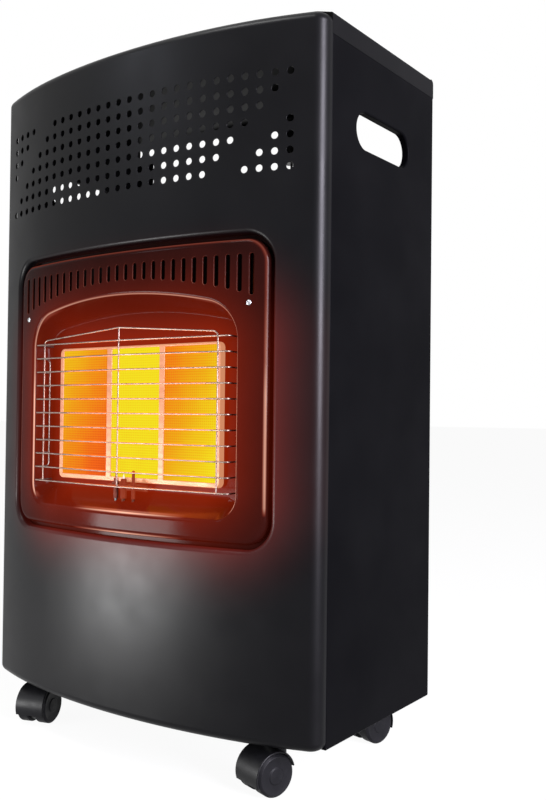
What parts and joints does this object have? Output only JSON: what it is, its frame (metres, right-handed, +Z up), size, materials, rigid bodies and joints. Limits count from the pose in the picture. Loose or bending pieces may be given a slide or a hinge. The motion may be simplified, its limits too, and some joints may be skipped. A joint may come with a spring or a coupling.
{
  "type": "portable gas cabinet heater",
  "caption": "Bowed-front gas cabinet heater on castors, with a glowing ceramic burner in a recessed reflector behind a wire guard.",
  "frame": {"origin": "on the floor, at the middle of the footprint", "axes": "+Z up, the bowed front faces -Y, +X is the right-hand side seen from the front"},
  "size_m": [0.45, 0.2656, 0.73],
  "materials": {
    "cabinet_paint": "smooth satin black paint, baked on",
    "pan_enamel": "glossy dark vitreous enamel",
    "galvanised_steel": "bright zinc-plated sheet",
    "heat_tinted_steel": "stainless sheet tinted by heat",
    "guard_chrome": "bright plated wire",
    "plaque_ceramic": "porous pale ceramic, glowing in use",
    "brass": "machined brass",
    "copper": "drawn copper tube",
    "electrode_glaze": "white glazed insulator",
    "lead_rubber": "black silicone insulation",
    "control_plastic": "fine-grained black plastic",
    "button_red": "smooth red plastic",
    "castor_plastic": "black nylon",
    "castor_tread": "black nylon tread, lightly scuffed",
    "castor_steel": "zinc-plated steel"
  },
  "bodies": {
    "cabinet": {"front_panel": "cabinet_paint", "side_panel_left": "cabinet_paint", "side_panel_right": "cabinet_paint", "top_cover": "cabinet_paint", "base_tray": "cabinet_paint", "heat_shield": "galvanised_steel", "injector_bracket": "galvanised_steel", "pilot_bracket": "galvanised_steel", "control_plate": "galvanised_steel", "reflector_pan": "pan_enamel", "burner_frame": "heat_tinted_steel", "burner_box_left": "heat_tinted_steel", "burner_box_centre": "heat_tinted_steel", "burner_box_right": "heat_tinted_steel", "wire_guard": "guard_chrome", "ceramic_plaque_left": "plaque_ceramic", "ceramic_plaque_centre": "plaque_ceramic", "ceramic_plaque_right": "plaque_ceramic", "injector_left": "brass", "injector_centre": "brass", "injector_right": "brass", "gas_valve": "brass", "hose_tail": "brass", "pilot_burner": "brass", "supply_tube_left": "copper", "supply_tube_centre": "copper", "supply_tube_right": "copper", "pilot_tube": "copper", "thermocouple": "copper", "thermocouple_lead": "copper", "spark_electrode": "electrode_glaze", "ignition_lead": "lead_rubber", "igniter_body": "control_plastic", "castor_front_left_socket": "castor_steel", "castor_front_right_socket": "castor_steel", "castor_rear_left_socket": "castor_steel", "castor_rear_right_socket": "castor_steel"},
    "rear_cover": {"rear_cover": "cabinet_paint"},
    "spindle": {"valve_spindle": "brass"},
    "knob": {"control_knob": "control_plastic"},
    "igniter_button": {"igniter_button": "button_red"},
    "castor_front_left": {"castor_front_left_body": "castor_plastic", "castor_front_left_axle": "castor_steel"},
    "castor_front_left_wheel_a": {"castor_front_left_wheel_a": "castor_tread"},
    "castor_front_left_wheel_b": {"castor_front_left_wheel_b": "castor_tread"},
    "castor_front_right": {"castor_front_right_body": "castor_plastic", "castor_front_right_axle": "castor_steel"},
    "castor_front_right_wheel_a": {"castor_front_right_wheel_a": "castor_tread"},
    "castor_front_right_wheel_b": {"castor_front_right_wheel_b": "castor_tread"},
    "castor_rear_left": {"castor_rear_left_body": "castor_plastic", "castor_rear_left_axle": "castor_steel"},
    "castor_rear_left_wheel_a": {"castor_rear_left_wheel_a": "castor_tread"},
    "castor_rear_left_wheel_b": {"castor_rear_left_wheel_b": "castor_tread"},
    "castor_rear_right": {"castor_rear_right_body": "castor_plastic", "castor_rear_right_axle": "castor_steel"},
    "castor_rear_right_wheel_a": {"castor_rear_right_wheel_a": "castor_tread"},
    "castor_rear_right_wheel_b": {"castor_rear_right_wheel_b": "castor_tread"}
  },
  "joints": [
    {"name": "rear_cover_slide", "type": "slide", "parent": "cabinet", "child": "rear_cover", "axis": [0, 1, 0], "range_m": [0, 0.15]},
    {"name": "valve_turn", "type": "hinge", "parent": "cabinet", "child": "spindle", "pos_m": [0.101, 0.095, 0.69], "axis": [0, 0, 1], "range_deg": [0, 210]},
    {"name": "knob_push", "type": "slide", "parent": "spindle", "child": "knob", "axis": [0, 0, -1], "range_m": [0, 0.004], "stiffness_N_per_m": 600},
    {"name": "igniter_push", "type": "slide", "parent": "cabinet", "child": "igniter_button", "axis": [0, 0, -1], "range_m": [0, 0.006], "stiffness_N_per_m": 500},
    {"name": "swivel_front_left", "type": "hinge", "parent": "cabinet", "child": "castor_front_left", "pos_m": [-0.166, -0.074, 0.045], "axis": [0, 0, 1], "continuous": true},
    {"name": "spin_front_left_a", "type": "hinge", "parent": "castor_front_left", "child": "castor_front_left_wheel_a", "pos_m": [-0.15055, -0.0837, 0.02], "axis": [0.9511, 0.309, 0], "continuous": true},
    {"name": "spin_front_left_b", "type": "hinge", "parent": "castor_front_left", "child": "castor_front_left_wheel_b", "pos_m": [-0.1728, -0.09093, 0.02], "axis": [0.9511, 0.309, 0], "continuous": true},
    {"name": "swivel_front_right", "type": "hinge", "parent": "cabinet", "child": "castor_front_right", "pos_m": [0.166, -0.074, 0.045], "axis": [0, 0, 1], "continuous": true},
    {"name": "spin_front_right_a", "type": "hinge", "parent": "castor_front_right", "child": "castor_front_right_wheel_a", "pos_m": [0.17295, -0.09087, 0.02], "axis": [0.9537, -0.3007, 0], "continuous": true},
    {"name": "spin_front_right_b", "type": "hinge", "parent": "castor_front_right", "child": "castor_front_right_wheel_b", "pos_m": [0.15063, -0.08383, 0.02], "axis": [0.9537, -0.3007, 0], "continuous": true},
    {"name": "swivel_rear_left", "type": "hinge", "parent": "cabinet", "child": "castor_rear_left", "pos_m": [-0.166, 0.08, 0.045], "axis": [0, 0, 1], "continuous": true},
    {"name": "spin_rear_left_a", "type": "hinge", "parent": "castor_rear_left", "child": "castor_rear_left_wheel_a", "pos_m": [-0.1791, 0.0927, 0.02], "axis": [-0.9945, -0.1045, 0], "continuous": true},
    {"name": "spin_rear_left_b", "type": "hinge", "parent": "castor_rear_left", "child": "castor_rear_left_wheel_b", "pos_m": [-0.15583, 0.09515, 0.02], "axis": [-0.9945, -0.1045, 0], "continuous": true},
    {"name": "swivel_rear_right", "type": "hinge", "parent": "cabinet", "child": "castor_rear_right", "pos_m": [0.166, 0.08, 0.045], "axis": [0, 0, 1], "continuous": true},
    {"name": "spin_rear_right_a", "type": "hinge", "parent": "castor_rear_right", "child": "castor_rear_right_wheel_a", "pos_m": [0.15803, 0.09642, 0.02], "axis": [-0.9703, 0.2419, 0], "continuous": true},
    {"name": "spin_rear_right_b", "type": "hinge", "parent": "castor_rear_right", "child": "castor_rear_right_wheel_b", "pos_m": [0.18074, 0.09075, 0.02], "axis": [-0.9703, 0.2419, 0], "continuous": true}
  ]
}
